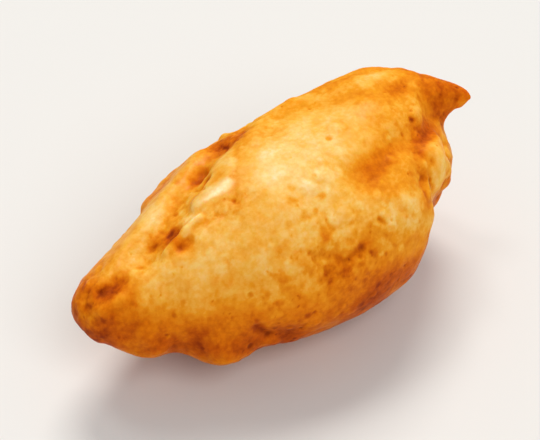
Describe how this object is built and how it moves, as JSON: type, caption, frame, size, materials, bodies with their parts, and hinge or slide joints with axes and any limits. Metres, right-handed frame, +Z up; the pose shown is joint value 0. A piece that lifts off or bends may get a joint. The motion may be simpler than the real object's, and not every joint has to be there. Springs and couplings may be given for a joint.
{
  "type": "kibbeling piece",
  "caption": "Deep-fried battered chunk of white fish: an almond-shaped, puffed golden crust with a rolled rim, a shallow trough, soft drips and a curled beak at its blunt end.",
  "frame": {"origin": "middle of the footprint's box, on the plane that the piece rests on", "axes": "+X runs along the piece from its thin tip to its blunt, beaked end; +Z is up; -Y is the front flank"},
  "size_m": [0.0574, 0.0288, 0.0232],
  "materials": {
    "crust": "golden-brown fried batter, mottled and slightly oily"
  },
  "bodies": {
    "root": {"kibbeling": "crust"}
  },
  "joints": []
}
